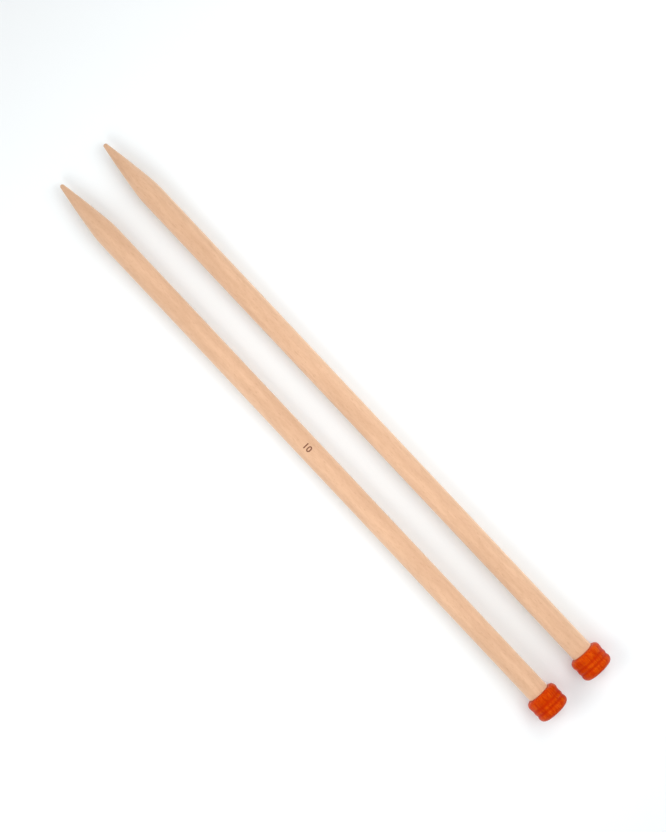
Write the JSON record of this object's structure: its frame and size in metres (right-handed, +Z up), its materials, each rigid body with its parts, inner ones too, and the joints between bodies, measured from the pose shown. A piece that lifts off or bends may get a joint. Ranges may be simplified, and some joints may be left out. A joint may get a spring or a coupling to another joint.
{
  "type": "straight knitting needles",
  "caption": "Pair of straight wooden knitting needles: plain turned shafts with smooth rounded points, and a dyed, grooved wooden cap on each blunt end to keep the stitches on.",
  "frame": {"origin": "on the table, under the middle of the pair", "axes": "+X along the needles from the caps towards the points, +Y to the left, +Z up; each axis hangs 0.55 degrees towards the point, because the cap is wider than the shaft"},
  "size_m": [0.312, 0.0408, 0.0152],
  "materials": {
    "pale_wood": "satin, bare sanded",
    "dyed_wood": "satin, dyed orange",
    "glue": "set adhesive"
  },
  "bodies": {
    "right_needle": {"right_shaft": "pale_wood", "right_cap": "dyed_wood", "right_glue": "glue"},
    "left_needle": {"left_shaft": "pale_wood", "left_cap": "dyed_wood", "left_glue": "glue"}
  },
  "joints": [
    {"name": "left_needle_lift", "type": "slide", "parent": "right_needle", "child": "left_needle", "axis": [0, 0, 1], "range_m": [0, 0.1]}
  ]
}
